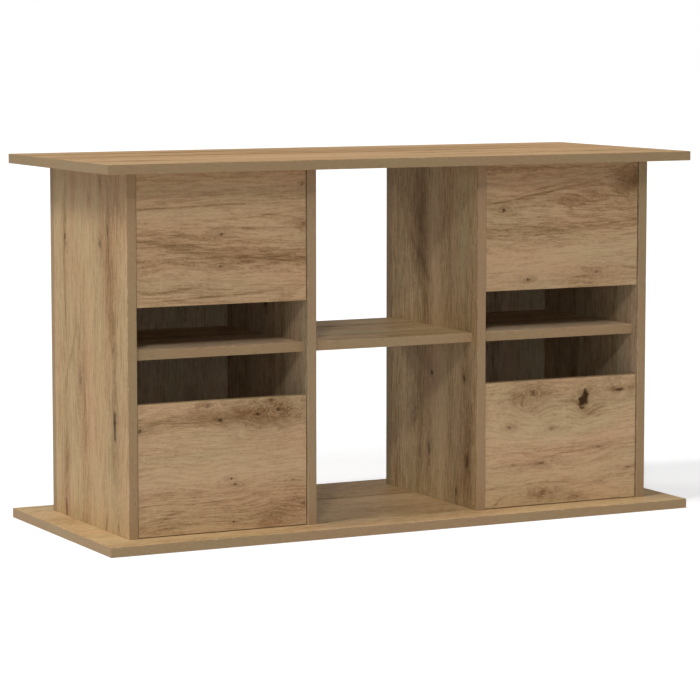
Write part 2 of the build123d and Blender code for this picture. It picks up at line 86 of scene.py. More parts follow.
# ---------------------------------------------------------------- colour and node helpers
def linear(colour):
    """Scene-linear RGBA from display RGB values between 0 and 1."""
    steps = [c / 12.92 if c <= 0.04045 else ((c + 0.055) / 1.055) ** 2.4 for c in colour]
    return (*steps, 1.0)


def put(tree, value, socket):
    """Feed a socket from another socket, or set its value."""
    if isinstance(value, bpy.types.NodeSocket):
        tree.links.new(value, socket)
    else:
        socket.default_value = value


def calc(tree, operation, *values):
    """A scalar math node's result."""
    node = tree.nodes.new("ShaderNodeMath")
    node.operation = operation
    for value, socket in zip(values, node.inputs):
        put(tree, value, socket)
    return node.outputs[0]


def vector_calc(tree, operation, *values):
    """A vector math node's result, a vector or a number."""
    node = tree.nodes.new("ShaderNodeVectorMath")
    node.operation = operation
    for value, socket in zip(values, node.inputs):
        put(tree, value, socket)
    return node.outputs["Value" if operation in ("DOT_PRODUCT", "LENGTH") else "Vector"]


def split(tree, vector):
    """A vector's three parts."""
    node = tree.nodes.new("ShaderNodeSeparateXYZ")
    put(tree, vector, node.inputs[0])
    return node.outputs


def join(tree, *parts):
    """A vector from two or three parts."""
    node = tree.nodes.new("ShaderNodeCombineXYZ")
    for part, socket in zip(parts, node.inputs):
        put(tree, part, socket)
    return node.outputs[0]


def remap(tree, value, low, high, new_low=0.0, new_high=1.0, smooth=True):
    """A value moved from one range to another, clamped."""
    node = tree.nodes.new("ShaderNodeMapRange")
    node.interpolation_type = "SMOOTHSTEP" if smooth else "LINEAR"
    for given, name in ((value, "Value"), (low, "From Min"), (high, "From Max"),
                        (new_low, "To Min"), (new_high, "To Max")):
        put(tree, given, node.inputs[name])
    return node.outputs["Result"]


def noise(tree, point, stretch, detail, roughness, distortion=0.0):
    """Noise of a point, with so many features per metre along each axis."""
    node = tree.nodes.new("ShaderNodeTexNoise")
    put(tree, vector_calc(tree, "MULTIPLY", point, stretch), node.inputs["Vector"])
    for value, name in ((1.0, "Scale"), (detail, "Detail"), (roughness, "Roughness"),
                        (distortion, "Distortion")):
        node.inputs[name].default_value = value
    return node.outputs["Fac"]


def ramp(tree, value, *stops):
    """A colour ramp, from (position, display colour) stops."""
    node = tree.nodes.new("ShaderNodeValToRGB")
    node.color_ramp.interpolation = "B_SPLINE"
    elements = node.color_ramp.elements
    while len(elements) < len(stops):
        elements.new(0.5)
    for element, (position, colour) in zip(elements, stops):
        element.position = position
        element.color = linear(colour)
    put(tree, value, node.inputs["Fac"])
    return node.outputs["Color"]


def mix(tree, factor, first, second, mode="MIX", kind="Color"):
    """Two colours, or two vectors, mixed."""
    node = tree.nodes.new("ShaderNodeMix")
    node.data_type = "RGBA" if kind == "Color" else "VECTOR"
    node.blend_type = mode
    for value, name in ((factor, "Factor_Float"), (first, f"A_{kind}"), (second, f"B_{kind}")):
        put(tree, value, next(s for s in node.inputs if s.identifier == name))
    return next(s for s in node.outputs if s.identifier == f"Result_{kind}")


def tinted(tree, colour, factors):
    """A colour times three factors."""
    return mix(tree, 1.0, colour, (*factors, 1.0), "MULTIPLY")


def group(name, inputs, outputs):
    """A new node group with float, vector or colour sockets; returns tree, inputs and outlet."""
    tree = bpy.data.node_groups.new(name, "ShaderNodeTree")
    kinds = {"f": "NodeSocketFloat", "v": "NodeSocketVector", "c": "NodeSocketColor"}
    for label, kind in inputs:
        tree.interface.new_socket(label, in_out="INPUT", socket_type=kinds[kind])
    for label, kind in outputs:
        tree.interface.new_socket(label, in_out="OUTPUT", socket_type=kinds[kind])
    inlet = tree.nodes.new("NodeGroupInput")
    outlet = tree.nodes.new("NodeGroupOutput")
    return tree, inlet.outputs, outlet.inputs


def use(tree, made, **values):
    """A group placed in a tree, its inputs given by name."""
    node = tree.nodes.new("ShaderNodeGroup")
    node.node_tree = made
    for name, value in values.items():
        put(tree, value, node.inputs[name])
    return node.outputs


def new_material(name):
    """A new material; returns it, its node tree and its surface shader."""
    material = bpy.data.materials.new(name)
    material.use_nodes = True
    tree = material.node_tree
    return material, tree, tree.nodes["Principled BSDF"]


def bump(tree, surface, height, strength, depth):
    """Relief on a surface, with its depth in metres."""
    node = tree.nodes.new("ShaderNodeBump")
    node.inputs["Strength"].default_value = strength
    node.inputs["Distance"].default_value = depth
    put(tree, height, node.inputs["Height"])
    put(tree, node.outputs[0], surface.inputs["Normal"])


def dress(material, *names):
    """Give one material to some CAD nodes."""
    for name in names:
        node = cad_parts[name]
        node.data.materials.clear()
        node.data.materials.append(material)


# ---------------------------------------------------------------- oak decor, shared by all boards
def make_knot_group():
    """A knot: the grain parts round it, a brown halo with rings fades out, a dark core inside."""
    tree, given, out = group(
        "oak_knot",
        [("Point", "v"), ("Ragged", "f"), ("Across", "f"), ("Dark", "f"), ("Halo", "f"),
         ("Centre", "v"), ("Size", "v"), ("Core", "f"), ("Brown", "f"), ("Reach", "f")],
        [("Across", "f"), ("Dark", "f"), ("Halo", "f")])
    offset = vector_calc(tree, "SUBTRACT", given["Point"], given["Centre"])
    radius = vector_calc(tree, "LENGTH", vector_calc(tree, "DIVIDE", offset, given["Size"]))

    jagged = calc(tree, "MULTIPLY", radius, remap(tree, given["Ragged"], 0.3, 0.7, 0.7, 1.3))
    core = calc(tree, "MULTIPLY", remap(tree, jagged, 1.15, 0.55), given["Core"])
    put(tree, calc(tree, "MAXIMUM", given["Dark"], core), out["Dark"])

    # the halo is twice as long along the grain as the core, for its height
    halved = vector_calc(tree, "MULTIPLY", offset, (0.5, 1.0, 1.0))
    ring = vector_calc(tree, "LENGTH", vector_calc(tree, "DIVIDE", halved, given["Size"]))
    ring = calc(tree, "MULTIPLY", ring, remap(tree, given["Ragged"], 0.3, 0.7, 0.75, 1.3))
    spread = calc(tree, "POWER", calc(tree, "DIVIDE", ring, given["Reach"]), 2.5)
    fade = calc(tree, "DIVIDE", 1.0, calc(tree, "ADD", 1.0, spread))
    rings = calc(tree, "SINE", calc(tree, "MULTIPLY_ADD", given["Ragged"], 9.0,
                                    calc(tree, "MULTIPLY", ring, 3.8)))
    patchy = remap(tree, noise(tree, given["Point"], PATCHES, 2.0, 0.5), 0.3, 0.7, 0.45, 0.85)
    rings = calc(tree, "MULTIPLY_ADD", rings, 0.28, patchy)
    brown = calc(tree, "MULTIPLY", calc(tree, "MULTIPLY", fade, rings), given["Brown"])
    put(tree, calc(tree, "MAXIMUM", given["Halo"], brown), out["Halo"])

    squared = calc(tree, "POWER", calc(tree, "DIVIDE", radius, given["Reach"]), 2.0)
    parted = calc(tree, "DIVIDE", split(tree, offset)["Y"], calc(tree, "ADD", 0.6, squared))
    put(tree, calc(tree, "MULTIPLY_ADD", parted, -0.6, given["Across"]), out["Across"])
    return tree


def make_shade_group():
    """A soft patch, darker or lighter, long and thin along a slope: mostly wood, in one place
    painted shadow.
    """
    tree, given, out = group(
        "oak_shade",
        [("Point", "v"), ("Wander", "f"), ("Tone", "f"), ("Centre", "v"), ("Size", "v"),
         ("Slope", "f"), ("Strength", "f")],
        [("Tone", "f")])
    offset = split(tree, vector_calc(tree, "SUBTRACT", given["Point"], given["Centre"]))
    level = calc(tree, "MULTIPLY", offset["X"], given["Slope"])
    lifted = calc(tree, "ADD", calc(tree, "SUBTRACT", offset["Y"], level), given["Wander"])
    place = join(tree, offset["X"], lifted)
    reach = vector_calc(tree, "LENGTH", vector_calc(tree, "DIVIDE", place, given["Size"]))
    fade = calc(tree, "DIVIDE", 1.0, calc(tree, "ADD", 1.0, calc(tree, "POWER", reach, 4.0)))
    put(tree, calc(tree, "MULTIPLY_ADD", fade, given["Strength"], given["Tone"]), out["Tone"])
    return tree


def growth_rings(tree, point, bands):
    """Fine lines across the grain, strongest where the bands are."""
    drift = calc(tree, "MULTIPLY", noise(tree, point, DRIFT, 2.0, 0.5), 75.0)
    phase = calc(tree, "MULTIPLY_ADD", split(tree, point)["Y"], RING_PACE, drift)
    wave = calc(tree, "MULTIPLY_ADD", calc(tree, "SINE", phase), 0.5, 0.5)
    return calc(tree, "MULTIPLY", calc(tree, "POWER", wave, 3.0),
                remap(tree, bands, 0.36, 0.62))


def make_decor_group():
    """Oak figure from a point (along, across, depth), darkened by shades and knots."""
    tree, given, out = group(
        "oak_decor",
        [("Point", "v"), ("Tone", "f"), ("Dark", "f"), ("Halo", "f"), ("Face", "f")],
        [("Colour", "c"), ("Height", "f"), ("Roughness", "f")])
    point = given["Point"]
    broad = noise(tree, point, BROAD, 2.0, 0.5)
    bands = noise(tree, point, BANDS, 3.0, 0.55)
    lines = noise(tree, point, LINES, 3.0, 0.6)
    threads = noise(tree, point, THREADS, 3.0, 0.6, 0.3)
    fibres = noise(tree, point, FIBRES, 2.0, 0.6)
    vein = remap(tree, noise(tree, point, PORES, 1.0, 0.5), 0.60, 0.74)

    tone = remap(tree, threads, 0.36, 0.66, -0.16, 0.20)
    for layer, strength in ((broad, 0.62), (bands, 0.30), (lines, 0.24), (fibres, 0.70)):
        tone = calc(tree, "MULTIPLY_ADD", calc(tree, "SUBTRACT", layer, 0.5), strength, tone)
    tone = calc(tree, "MULTIPLY_ADD", growth_rings(tree, point, bands), 0.06, tone)
    calm = remap(tree, given["Tone"], 0.0, 0.40, 1.0, 0.60)
    shaded = calc(tree, "MULTIPLY", given["Tone"], remap(tree, threads, 0.3, 0.7, 0.8, 1.2))
    tone = calc(tree, "MULTIPLY_ADD", tone, calm, calc(tree, "ADD", shaded, 0.36))
    edge_tone = calc(tree, "MULTIPLY_ADD", calc(tree, "SUBTRACT", fibres, 0.5), 0.20, 0.42)
    edge_tone = calc(tree, "MULTIPLY_ADD", calc(tree, "SUBTRACT", bands, 0.5), 0.15, edge_tone)
    tone = calc(tree, "MULTIPLY_ADD", calc(tree, "SUBTRACT", tone, edge_tone), given["Face"],
                edge_tone)

    hue = ramp(tree, noise(tree, point, HUES, 3.0, 0.55), *COOL_TO_WARM)
    wood = mix(tree, 1.0, ramp(tree, tone, *PALE_TO_DARK), hue, "MULTIPLY")
    wood = mix(tree, calc(tree, "MULTIPLY", vein, 0.22), wood, linear(PORE_BROWN))
    halo = calc(tree, "MULTIPLY", given["Halo"], given["Face"])
    wood = mix(tree, halo, wood, linear(HALO_BROWN))
    dark = calc(tree, "MULTIPLY", given["Dark"], given["Face"])
    wood = mix(tree, dark, wood, linear(CORE_BROWN))
    wood = mix(tree, given["Face"], tinted(tree, wood, BANDING), wood)
    put(tree, tinted(tree, wood, BALANCE), out["Colour"])

    dents = calc(tree, "ADD", calc(tree, "MULTIPLY", vein, -0.6),
                 calc(tree, "MULTIPLY", lines, -0.5))
    put(tree, calc(tree, "MULTIPLY_ADD", dark, -0.8, dents), out["Height"])
    put(tree, remap(tree, tone, 0.1, 0.9, 0.46, 0.62), out["Roughness"])
    return tree


KNOT = make_knot_group()
SHADE = make_shade_group()
DECOR = make_decor_group()


# ---------------------------------------------------------------- oak boards
def with_shades(tree, place, wander, tone, shades):
    """A board's tone after its darker and lighter patches."""
    for u, v, half_long, half_high, slope, strength in shades:
        tone = use(tree, SHADE, Point=place, Wander=wander, Tone=tone,
                   Centre=(u * MM, v * MM, 0), Size=(half_long * MM, half_high * MM, 1),
                   Slope=slope, Strength=strength)["Tone"]
    return tone


def with_knots(tree, place, ragged, across, knots):
    """A board's place across the grain, parted round its knots, and their dark and halo."""
    dark, halo = 0.0, 0.0
    for u, v, half_long, half_high, core, brown, reach in knots:
        knot = use(tree, KNOT, Point=place, Ragged=ragged, Across=across, Dark=dark,
                   Halo=halo, Centre=(u * MM, v * MM, 0),
                   Size=(half_long * MM, half_high * MM, 1), Core=core, Brown=brown,
                   Reach=reach)
        across, dark, halo = knot["Across"], knot["Dark"], knot["Halo"]
    return across, dark, halo


def edge_distance(tree, point, low, high, grain, wide, face):
    """How far a point on a board's surface lies from the nearest edge."""
    thin = X + Y + Z - grain - wide
    from_middle = vector_calc(tree, "SUBTRACT", point, (low + high) / 2)
    inside = split(tree, vector_calc(tree, "SUBTRACT", (high - low) / 2,
                                     vector_calc(tree, "ABSOLUTE", from_middle)))
    to_side = calc(tree, "MINIMUM", inside[grain], inside[wide])
    to_face = calc(tree, "MINIMUM", inside[thin],
                   calc(tree, "MAXIMUM", inside[grain], inside[wide]))
    return calc(tree, "ADD", calc(tree, "MULTIPLY", to_side, face),
                calc(tree, "MULTIPLY", to_face, calc(tree, "SUBTRACT", 1.0, face)))


def oak(node, grain, wide, tone=0.0, tint=PLAIN, band=PLAIN, inward=None, painted_light=PAINTED_LIGHT_UPRIGHTS,
        shades=(), knots=()):
    """Oak laminate for a board: grain along one axis, decor across another, banded edges.

    Tint and band are factors on the faces and the edges; on the top, base and shelves the
    tint is painted light. The factor on the face that looks inward is painted light too,
    lightening the shaded inside of the closed compartments. Shades are (along, across, half
    length, half height, slope, strength) and knots are (along, across, half length, half
    height, core, halo, reach), in mm from the board's corner at its lowest X, Y and Z.
    """
    name = "oak_" + node.removesuffix("_panel")
    thin = X + Y + Z - grain - wide
    low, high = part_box(node)
    chance = random.Random(name)
    shift = Vector([chance.uniform(-DECOR_SHIFT, DECOR_SHIFT) for _ in range(3)])
    material, tree, surface = new_material(name)

    where = tree.nodes.new("ShaderNodeTexCoord").outputs
    local = split(tree, vector_calc(tree, "SUBTRACT", where["Object"], low))
    along, across, depth = local[grain], local[wide], local[thin]
    facing = split(tree, vector_calc(tree, "ABSOLUTE", where["Normal"]))
    face = calc(tree, "GREATER_THAN", facing[thin], 0.5)
    end = calc(tree, "GREATER_THAN", facing[grain], 0.5)

    place = join(tree, along, across)
    shifted = vector_calc(tree, "ADD", place, shift)
    wander = calc(tree, "SUBTRACT", noise(tree, shifted, WANDER, 2.0, 0.45), 0.5)
    wander = calc(tree, "MULTIPLY", wander, WANDER_REACH)
    shade = with_shades(tree, place, wander, tone, shades)
    waved, dark, halo = with_knots(tree, place, noise(tree, shifted, RAGGED, 3.0, 0.6),
                                   calc(tree, "ADD", across, wander), knots)

    figure = join(tree, along, waved, depth)
    sawn = join(tree, across, depth, along)
    point = vector_calc(tree, "ADD", mix(tree, end, figure, sawn, kind="Vector"), shift)
    decor = use(tree, DECOR, Point=point, Tone=shade, Dark=dark, Halo=halo, Face=face)
    wood = mix(tree, face, tinted(tree, decor["Colour"], band),
               tinted(tree, decor["Colour"], tint))
    # painted light: the face that looks inward is lightened by its factor, standing in for light
    # inside the closed compartments
    if inward:
        looks_in = vector_calc(tree, "DOT_PRODUCT", where["Normal"], inward)
        wood = mix(tree, calc(tree, "GREATER_THAN", looks_in, 0.5), wood,
                   tinted(tree, wood, painted_light))

    border = edge_distance(tree, where["Object"], low, high, grain, wide, face)
    seam = remap(tree, border, 0.0, SEAM_WIDTH, 1.0, 0.0)
    worn = calc(tree, "MULTIPLY", remap(tree, border, 0.0, WORN_WIDTH, 1.0, 0.0),
                remap(tree, noise(tree, point, NICKS, 3.0, 0.7), 0.52, 0.68))
    wood = mix(tree, calc(tree, "MULTIPLY", seam, 0.12), wood, linear(SEAM_BROWN))
    wood = mix(tree, calc(tree, "MULTIPLY", worn, 0.30), wood, linear(WORN_EDGE))
    put(tree, wood, surface.inputs["Base Color"])
    put(tree, calc(tree, "MULTIPLY_ADD", worn, 0.12, decor["Roughness"]),
        surface.inputs["Roughness"])
    surface.inputs["Specular IOR Level"].default_value = 0.2
    height = calc(tree, "MULTIPLY_ADD", seam, -0.4, decor["Height"])
    bump(tree, surface, height, strength=0.35, depth=0.0003)
    dress(material, node)


# ---------------------------------------------------------------- fittings
def fitting_material(name, colour, second, worn_colour, metallic, roughness, grain,
                     stretch=PLAIN):
    """A plated, cast, turned or moulded fitting: mottled colour, grain bump, worn edges."""
    material, tree, surface = new_material(name)
    where = tree.nodes.new("ShaderNodeTexCoord")
    point = vector_calc(tree, "MULTIPLY", where.outputs["Object"], stretch)
    clouds = noise(tree, point, (160, 160, 160), 3.0, 0.6)
    round_edge = tree.nodes.new("ShaderNodeBevel")
    round_edge.samples = 4
    round_edge.inputs["Radius"].default_value = WORN_RADIUS
    plain = tree.nodes.new("ShaderNodeNewGeometry")
    bend = vector_calc(tree, "DOT_PRODUCT", round_edge.outputs[0], plain.outputs["Normal"])
    worn = remap(tree, bend, 0.995, 0.93)
    tone = mix(tree, remap(tree, clouds, 0.35, 0.65), linear(colour), linear(second))
    tone = mix(tree, calc(tree, "MULTIPLY", worn, 0.6), tone, linear(worn_colour))
    put(tree, tone, surface.inputs["Base Color"])
    surface.inputs["Metallic"].default_value = metallic
    put(tree, remap(tree, clouds, 0.3, 0.7, roughness - 0.06, roughness + 0.08),
        surface.inputs["Roughness"])
    fine = noise(tree, point, (grain, grain, grain), 2.0, 0.6)
    bump(tree, surface, fine, strength=0.25, depth=0.0001)
    return material


def nickel_plate():
    """Pressed steel hinge parts, nickel plated, with faint rolling marks."""
    return fitting_material(
        "nickel_plate", colour=(0.83, 0.82, 0.79), second=(0.75, 0.74, 0.71),
        worn_colour=(0.93, 0.92, 0.90), metallic=1.0, roughness=0.26, grain=2600,
        stretch=(1, 1, 0.25))


def zinc_plate():
    """Screws with a bright zinc coat."""
    return fitting_material(
        "zinc_plate", colour=(0.78, 0.80, 0.82), second=(0.70, 0.71, 0.70),
        worn_colour=(0.90, 0.91, 0.92), metallic=1.0, roughness=0.30, grain=3000)


def die_cast_zinc():
    """Cam locks, cast in zinc, grey and slightly grainy."""
    return fitting_material(
        "die_cast_zinc", colour=(0.66, 0.67, 0.68), second=(0.57, 0.58, 0.59),
        worn_colour=(0.80, 0.81, 0.82), metallic=1.0, roughness=0.42, grain=4200)


def beech_wood():
    """Beech dowels, pale with a fine straight grain."""
    return fitting_material(
        "beech_wood", colour=(0.86, 0.73, 0.55), second=(0.78, 0.63, 0.45),
        worn_colour=(0.90, 0.80, 0.64), metallic=0.0, roughness=0.62, grain=1400,
        stretch=(0.2, 1, 1))


def stop_plastic():
    """Soft milky plastic door stops."""
    material = fitting_material(
        "stop_plastic", colour=(0.86, 0.86, 0.84), second=(0.80, 0.80, 0.78),
        worn_colour=(0.93, 0.93, 0.92), metallic=0.0, roughness=0.36, grain=1800)
    surface = material.node_tree.nodes["Principled BSDF"]
    surface.inputs["Transmission Weight"].default_value = 0.25
    surface.inputs["Subsurface Weight"].default_value = 0.2
    surface.inputs["Subsurface Radius"].default_value = (0.002, 0.002, 0.0018)
    return material


corners = [f"{side}_{level}" for side in ("left", "right") for level in ("lower", "upper")]
dress(nickel_plate(), "hinge_arms", "hinge_mounting_plates",
      *(f"{corner}_{part}" for corner in corners for part in ("hinge_cups", "hinge_pins")))
dress(zinc_plate(), "hinge_arm_screws", "mounting_plate_screws", "base_screws",
      "back_panel_screws", "top_cam_bolts", "shelf_cam_bolts", "shelf_through_bolts",
      *(f"{corner}_cup_screws" for corner in corners))
dress(die_cast_zinc(), "top_cam_locks", "shelf_cam_locks")
dress(beech_wood(), "top_dowels", "base_dowels", "shelf_dowels", "divider_dowels")
dress(stop_plastic(), "door_stops")


# ---------------------------------------------------------------- boards
oak("left_upper_door", X, Z, tone=-0.03, tint=(1.06, 1.03, 1.06),
    shades=[(70, 146, 100, 1.6, 0.02, 0.30), (190, 148, 90, 1.2, 0.0, 0.18),
            (170, 127, 50, 1.4, 0.06, 0.28), (245, 127, 45, 1.4, -0.1, 0.28),
            (205, 114, 85, 1.4, 0.0, 0.26), (70, 104, 110, 1.4, 0.0, 0.22),
            (130, 84, 240, 9, -0.06, 0.26), (230, 74, 80, 6, 0.0, 0.14),
            (120, 20, 80, 1.8, 0.07, 0.30), (55, 30, 60, 1.4, 0.06, 0.22),
            (245, 15, 16, 5, 0.0, 0.26), (200, 50, 150, 14, 0.0, -0.10),
            (100, 170, 160, 12, 0.0, -0.04)],
    knots=[(139, 106, 3, 2.2, 0.7, 0.5, 3), (137, 57, 2.6, 2.6, 0.57, 0.5, 3),
           (276, 117, 3, 4, 0.44, 0.5, 3), (274, 178, 3, 3, 0.44, 0.4, 3)])
# the first shade, a darker band along the door's top, is painted shadow under the top's overhang
# with some darker grain in it
oak("right_upper_door", X, Z, tone=-0.05, tint=(1.03, 1.04, 1.06),
    shades=[(140, 190, 220, 13, 0.0, 0.16), (268, 172, 28, 16, 0.3, 0.42),
            (95, 152, 100, 1.6, 0.12, 0.30), (120, 164, 90, 1.4, 0.16, 0.24),
            (190, 170, 80, 1.6, 0.22, 0.24), (150, 139, 45, 7, 0.0, 0.22),
            (205, 150, 60, 1.4, 0.0, 0.20), (130, 96, 200, 10, 0.05, 0.24),
            (150, 52, 180, 20, 0.0, -0.14), (175, 10, 22, 7, 0.0, 0.22),
            (180, 25, 12, 5, 0.0, 0.25), (60, 126, 60, 6, 0.0, -0.12)],
    knots=[(32, 128, 3.4, 2.8, 0.8, 0.6, 4.0), (77, 16, 3, 2.2, 0.7, 0.6, 3.0),
           (204, 24, 3, 2.2, 0.57, 0.6, 3.0), (195, 147, 6, 5, 0.0, 0.45, 2.4),
           (276, 172, 6, 9, 0.33, 0.7, 3.0)])
oak("left_lower_door", X, Z, tone=-0.11, tint=(1.09, 1.09, 1.14),
    shades=[(90, 178, 110, 14, 0.02, 0.40), (215, 176, 60, 20, 0.0, 0.15),
            (228, 12, 24, 11, 0.3, 0.28), (60, 8, 50, 4, 0.0, 0.2),
            (75, 48, 80, 1.6, -0.03, 0.28), (50, 65, 60, 10, 0.0, 0.12),
            (50, 25, 14, 6, 0.4, 0.22), (150, 110, 180, 30, 0.0, -0.08)],
    knots=[(3, 162, 4, 3, 0.7, 0.7, 2.8), (115, 194, 4, 3, 0.57, 0.8, 3.2),
           (135, 171, 4, 3, 0.84, 0.8, 3.4), (198, 177, 3.2, 2.8, 0.9, 1.1, 8.0),
           (233, 181, 3.4, 3, 0.75, 1.1, 8.0), (220, 197, 5, 2.5, 0.57, 0.7, 2.8),
           (154, 80, 2.2, 1.8, 0.84, 0.5, 2.5), (160, 71, 2.6, 2, 0.8, 0.6, 2.5),
           (258, 71, 2, 1.5, 0.44, 0.4, 2.5), (275, 34, 4.5, 2.5, 0.57, 0.8, 3.0),
           (157, 13, 2.2, 1.8, 0.84, 0.5, 2.5), (226, 8, 4, 4, 0.0, 0.55, 4.0)])
oak("right_lower_door", X, Z, tone=-0.17, tint=(1.12, 1.14, 1.19),
    shades=[(195, 148, 34, 9, 0.0, 0.26), (140, 92, 160, 1.5, 0.0, 0.16),
            (78, 168, 34, 11, 0.0, 0.22), (160, 84, 50, 1.8, 0.06, 0.26),
            (140, 38, 160, 1.5, 0.0, 0.18), (236, 187, 22, 8, 0.0, -0.30),
            (190, 145, 12, 6, 0.0, 0.18), (140, 185, 160, 12, 0.0, 0.08),
            (22, 9, 9, 3, 0.9, 0.34), (102, 11, 6, 5, 1.2, 0.30),
            (252, 175, 30, 5, 0.0, 0.30), (158, 161, 26, 5, 0.0, 0.24)],
    knots=[(185, 170, 7, 13, 1.0, 0.6, 1.7), (179, 163, 7, 12, 1.0, 0.4, 1.0),
           (88, 181, 3.2, 4, 0.57, 0.8, 6.0), (70, 168, 6, 5, 0.0, 0.4, 4.2),
           (248, 178, 10, 2.6, 0.84, 0.7, 2.6), (243, 187, 4, 4, 0.0, 0.6, 6.0),
           (44, 128, 2.6, 2.4, 0.57, 0.6, 2.5),
           (122, 122, 3.2, 2.4, 0.23, 0.5, 2.5), (103, 67, 6, 2.4, 0.57, 0.7, 2.5),
           (50, 67, 3, 1.8, 0.33, 0.5, 2.5), (210, 87, 5, 1.8, 0.44, 0.5, 2.5),
           (267, 50, 4, 2, 0.57, 0.5, 2.5), (107, 18, 6, 3.6, 0.33, 0.9, 2.8),
           (164, 8, 4, 3, 0.23, 0.8, 2.6), (216, 30, 2.4, 1.8, 0.23, 0.4, 2.5)])
# on the uprights, along runs up from the base and across runs back from the front
# each upright's face that looks inward gets painted light from the default inward factor
oak("left_side_panel", Z, Y, tone=-0.05, tint=(1.01, 1.02, 0.96), inward=(1, 0, 0),
    shades=[(410, 256, 150, 4, 0.0, 0.34), (268, 226, 40, 4, -0.5, 0.22),
            (395, 66, 78, 20, 0.08, 0.20), (330, 58, 40, 8, 0.0, 0.10),
            (530, 108, 26, 7, 0.0, 0.30), (88, 248, 34, 12, 0.0, 0.24),
            (100, 180, 130, 8, 0.0, 0.14), (450, 170, 120, 12, 0.0, -0.08),
            (275, 15, 280, 18, 0.0, -0.06), (60, 95, 60, 4, 0.0, 0.14),
            (20, 60, 60, 70, 0.0, -0.16), (40, 250, 60, 50, 0.0, -0.16)],
    knots=[(458, 74, 13, 3.5, 0.57, 0.6, 2.4), (438, 105, 6, 4, 0.57, 0.6, 2.6),
           (440, 248, 6, 4.5, 0.63, 0.6, 2.6), (165, 52, 25, 5.5, 0.8, 0.7, 2.0),
           (221, 190, 10, 4, 0.44, 0.6, 2.8), (280, 55, 5, 3, 0.33, 0.5, 2.6),
           (16, 252, 15, 5, 0.55, 0.5, 2.0), (10, 88, 10, 4, 0.35, 0.4, 2.2),
           (12, 41, 9, 4, 0.35, 0.35, 2.4), (505, 150, 4, 3, 0.33, 0.4, 2.5)])
oak("right_divider", Z, Y, tone=0.02, tint=(1.06, 1.15, 1.13), band=(1.02, 1.0, 1.05),
    inward=(1, 0, 0),
    shades=[(275, 288, 280, 7, 0.0, 0.30), (460, 190, 95, 20, 0.0, 0.30),
            (385, 190, 34, 8, 0.8, 0.26), (320, 175, 60, 12, 0.0, 0.20),
            (240, 92, 260, 12, 0.0, 0.18), (160, 30, 170, 12, 0.0, 0.16),
            (130, 190, 110, 12, 0.0, 0.20), (320, 140, 240, 14, 0.0, -0.12),
            (140, 120, 130, 10, 0.0, -0.14), (470, 70, 80, 12, 0.0, 0.0),
            (140, 150, 130, 140, 0.0, -0.06)],
    knots=[(440, 190, 9, 5, 0.33, 0.6, 2.6), (205, 150, 5, 4.5, 0.84, 0.6, 2.6),
           (207, 42, 6, 4.5, 0.7, 0.6, 2.6), (130, 212, 8, 8, 0.15, 0.7, 2.6),
           (82, 160, 12, 4, 0.57, 0.8, 2.8), (74, 32, 12, 6, 0.7, 0.9, 2.4),
           (70, 190, 12, 4, 0.33, 0.5, 2.5), (22, 68, 9, 3.5, 0.57, 0.5, 2.5)])
oak("left_divider", Z, Y, band=(1.02, 1.0, 1.05), inward=(-1, 0, 0),
    shades=[(240, 90, 260, 9, 0.0, 0.22), (430, 210, 100, 14, 0.0, 0.18)],
    knots=[(330, 150, 6, 5, 0.57, 0.6, 2.8), (96, 230, 5, 4, 0.44, 0.5, 2.6),
           (505, 60, 5, 4, 0.44, 0.5, 2.6)])
oak("right_side_panel", Z, Y, inward=(-1, 0, 0),
    shades=[(300, 70, 240, 10, 0.0, 0.24), (140, 200, 120, 12, 0.0, 0.20)],
    knots=[(372, 214, 7, 5, 0.7, 0.7, 2.6), (180, 98, 6, 4, 0.57, 0.6, 2.8),
           (70, 262, 5, 4, 0.44, 0.5, 2.6), (498, 140, 5, 4, 0.44, 0.5, 2.6)])
# the back panels' faces that look inward get painted light
oak("left_back_panel", Z, X, tone=-0.06, inward=(0, -1, 0), painted_light=PAINTED_LIGHT_BACKS,
    shades=[(260, 90, 260, 12, 0.0, 0.24), (420, 220, 110, 14, 0.0, 0.2)],
    knots=[(402, 140, 6, 5, 0.7, 0.7, 2.8), (150, 236, 6, 4, 0.57, 0.6, 2.8),
           (248, 42, 5, 4, 0.44, 0.5, 2.6)])
oak("right_back_panel", Z, X, tone=-0.06, band=(0.8, 0.82, 0.8), inward=(0, -1, 0), painted_light=PAINTED_LIGHT_BACKS,
    shades=[(300, 200, 240, 12, 0.0, 0.24), (120, 80, 120, 14, 0.0, 0.2)],
    knots=[(320, 88, 7, 5, 0.7, 0.7, 2.8), (96, 190, 6, 4, 0.57, 0.6, 2.8),
           (470, 250, 5, 4, 0.44, 0.5, 2.6)])
# the left and right shelves' tint is painted light inside the closed compartments
oak("left_shelf", X, Y, tint=PAINTED_LIGHT_SHELVES,
    shades=[(140, 150, 160, 10, 0.02, 0.22)],
    knots=[(90, 96, 5, 4, 0.44, 0.5, 2.6)])
# the centre shelf's tint is painted light that lightens the whole board
oak("centre_shelf", X, Y, tint=(1.12, 1.26, 1.28), band=(1.06, 1.06, 1.08),
    shades=[(140, 190, 160, 10, 0.03, 0.26), (140, 60, 160, 8, 0.0, 0.18)],
    knots=[(205, 120, 5, 4, 0.44, 0.5, 2.6)])
oak("right_shelf", X, Y, tint=PAINTED_LIGHT_SHELVES,
    shades=[(140, 120, 160, 10, -0.02, 0.22)],
    knots=[(190, 180, 5, 4, 0.44, 0.5, 2.6)])
